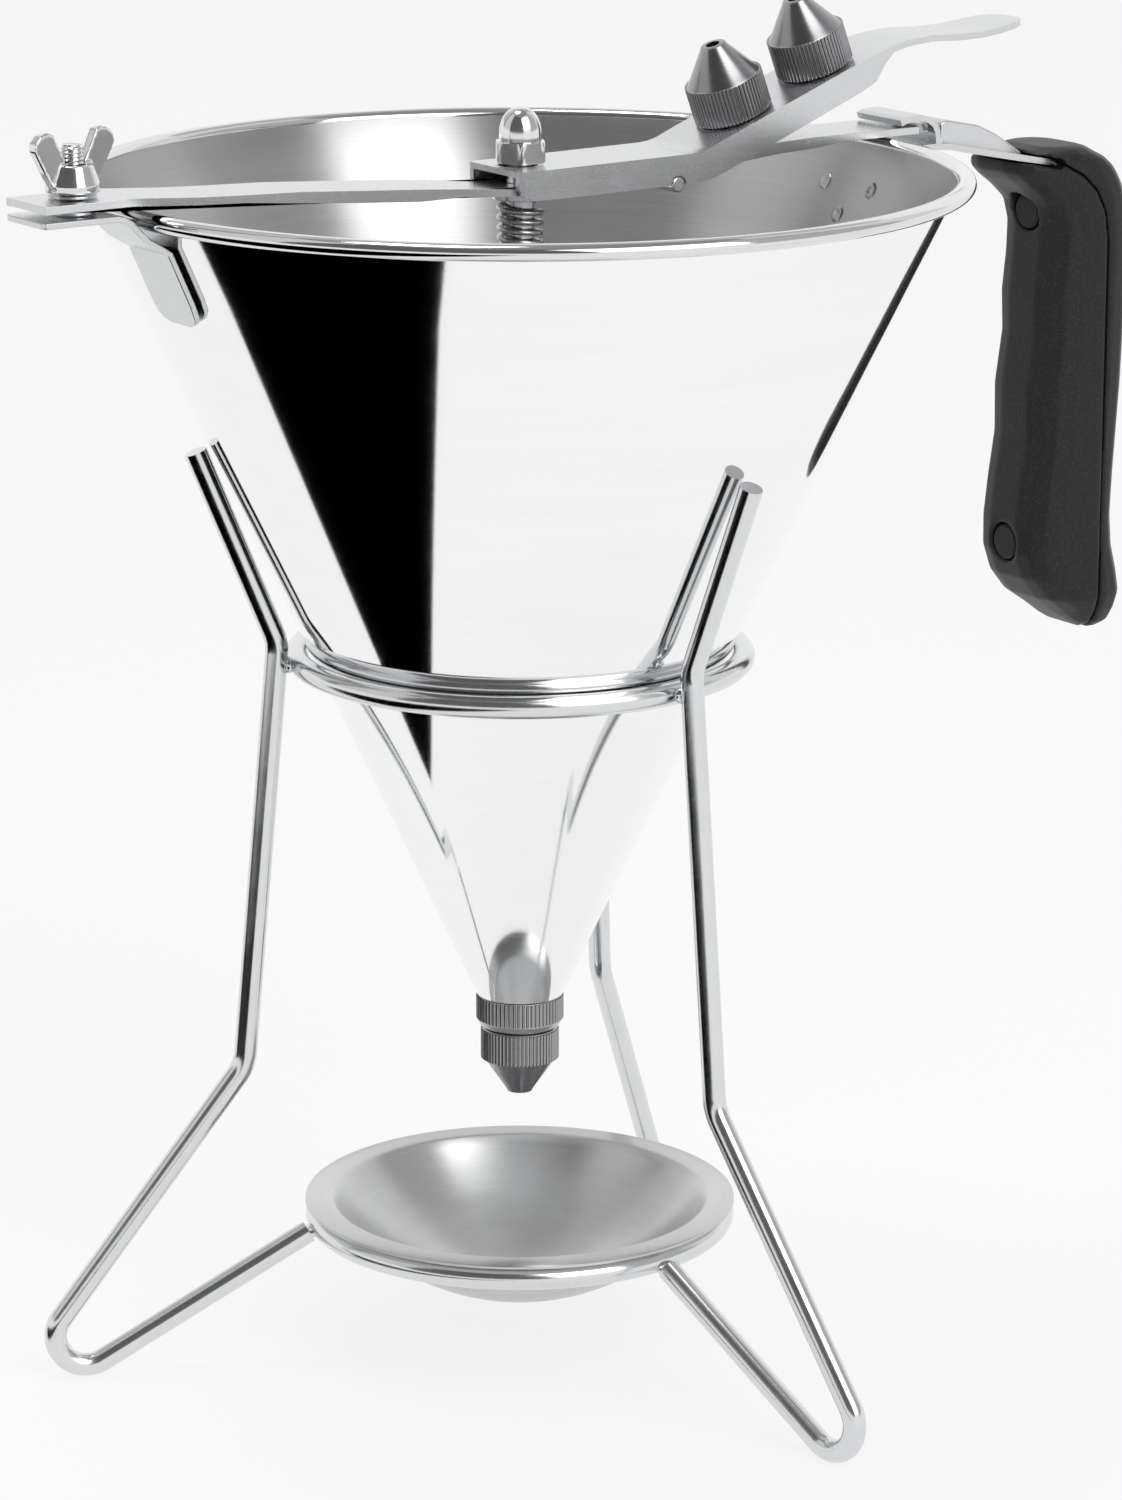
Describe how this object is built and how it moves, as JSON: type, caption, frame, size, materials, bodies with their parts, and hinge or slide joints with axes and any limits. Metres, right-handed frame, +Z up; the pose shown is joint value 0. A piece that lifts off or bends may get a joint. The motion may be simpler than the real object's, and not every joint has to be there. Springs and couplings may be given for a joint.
{
  "type": "dispensing funnel",
  "caption": "Conical dispensing funnel with a lever-operated valve, side handle and spare nozzles on the lever, resting in a wire stand above a drip dish.",
  "frame": {"origin": "bottom centre of the bounding box, on the surface that the stand's feet rest on", "axes": "+Z up along the funnel's axis, +X along the crossbar from the wing nut towards the handle, +Y across it"},
  "size_m": [0.2794, 0.199, 0.2909],
  "materials": {
    "steel_sheet": "satin",
    "brushed_sheet": "satin, brushed around",
    "turned_steel": "knurled and turned",
    "polished_steel": "polished",
    "steel_wire": "smooth drawn wire",
    "black_plastic": "finely textured",
    "black_rubber": "matt"
  },
  "bodies": {
    "stand": {"stand_upper_ring": "steel_wire", "stand_leg_a": "steel_wire", "stand_leg_b": "steel_wire", "stand_leg_c": "steel_wire", "stand_lower_ring": "steel_wire"},
    "dish": {"drip_dish": "brushed_sheet"},
    "funnel": {"funnel_cone": "brushed_sheet", "outlet_collar": "turned_steel", "clamp_bracket": "steel_sheet", "clamp_stud": "steel_sheet", "crossbar": "steel_sheet", "handle_bracket": "steel_sheet", "handle_grip": "black_plastic", "handle_spine": "black_plastic", "handle_plug_upper": "black_rubber", "handle_plug_lower": "black_rubber", "handle_screw_upper": "steel_sheet", "handle_screw_lower": "steel_sheet", "spring_washer": "steel_sheet", "return_spring": "steel_wire"},
    "seal": {"nozzle_seal": "black_rubber"},
    "nozzle": {"dispensing_nozzle": "turned_steel"},
    "washer": {"wing_nut_washer": "steel_sheet"},
    "wing_nut": {"wing_nut": "polished_steel"},
    "lever": {"lever": "steel_sheet", "fulcrum_pin": "polished_steel", "spare_nozzle_stud_a": "steel_sheet", "spare_nozzle_stud_b": "steel_sheet"},
    "spare_a": {"spare_nozzle_a": "turned_steel"},
    "spare_b": {"spare_nozzle_b": "turned_steel"},
    "valve": {"valve_rod": "steel_wire", "cap_nut": "polished_steel", "spring_stop": "steel_sheet", "valve_plug": "black_rubber"}
  },
  "joints": [
    {"name": "dish_lift", "type": "slide", "parent": "stand", "child": "dish", "axis": [0, 0, 1], "range_m": [0, 0.04]},
    {"name": "funnel_lift", "type": "slide", "parent": "stand", "child": "funnel", "axis": [0, 0, 1], "range_m": [0, 0.17]},
    {"name": "lever_press", "type": "hinge", "parent": "funnel", "child": "lever", "pos_m": [0.01265, 0.00454, 0.2544], "axis": [0, 1, 0], "range_deg": [0, 7], "stiffness_Nm_per_rad": 2, "springref_deg": -6.88},
    {"name": "valve_lift", "type": "slide", "parent": "funnel", "child": "valve", "axis": [0, 0, 1], "range_m": [0, 0.0045], "deforming": ["return_spring"]},
    {"name": "washer_rise", "type": "slide", "parent": "funnel", "child": "washer", "axis": [0, 0, 1], "range_m": [0, 0.0095]},
    {"name": "wing_nut_turn", "type": "hinge", "parent": "washer", "child": "wing_nut", "pos_m": [-0.12845, 0.00454, 0.2645], "axis": [0, 0, 1], "range_deg": [0, 4230]},
    {"name": "seal_drop", "type": "slide", "parent": "funnel", "child": "seal", "axis": [0, 0, -1], "range_m": [0, 0.0066]},
    {"name": "nozzle_turn", "type": "hinge", "parent": "seal", "child": "nozzle", "pos_m": [-0.02115, 0.00454, 0.07], "axis": [0, 0, -1], "range_deg": [0, 2340]},
    {"name": "spare_a_turn", "type": "hinge", "parent": "lever", "child": "spare_a", "pos_m": [0.03415, 0.00454, 0.2666], "axis": [-0.354, 0, 0.9353], "range_deg": [0, 1800]},
    {"name": "spare_b_turn", "type": "hinge", "parent": "lever", "child": "spare_b", "pos_m": [0.05585, 0.00454, 0.27481], "axis": [-0.354, 0, 0.9353], "range_deg": [0, 1800]}
  ],
  "couplings": [
    {"joint": "valve_lift", "follows": "lever_press", "m_per_rad": 0.0357},
    {"joint": "washer_rise", "follows": "wing_nut_turn", "m_per_rad": 0.00012732},
    {"joint": "seal_drop", "follows": "nozzle_turn", "m_per_rad": 0.00015915}
  ]
}
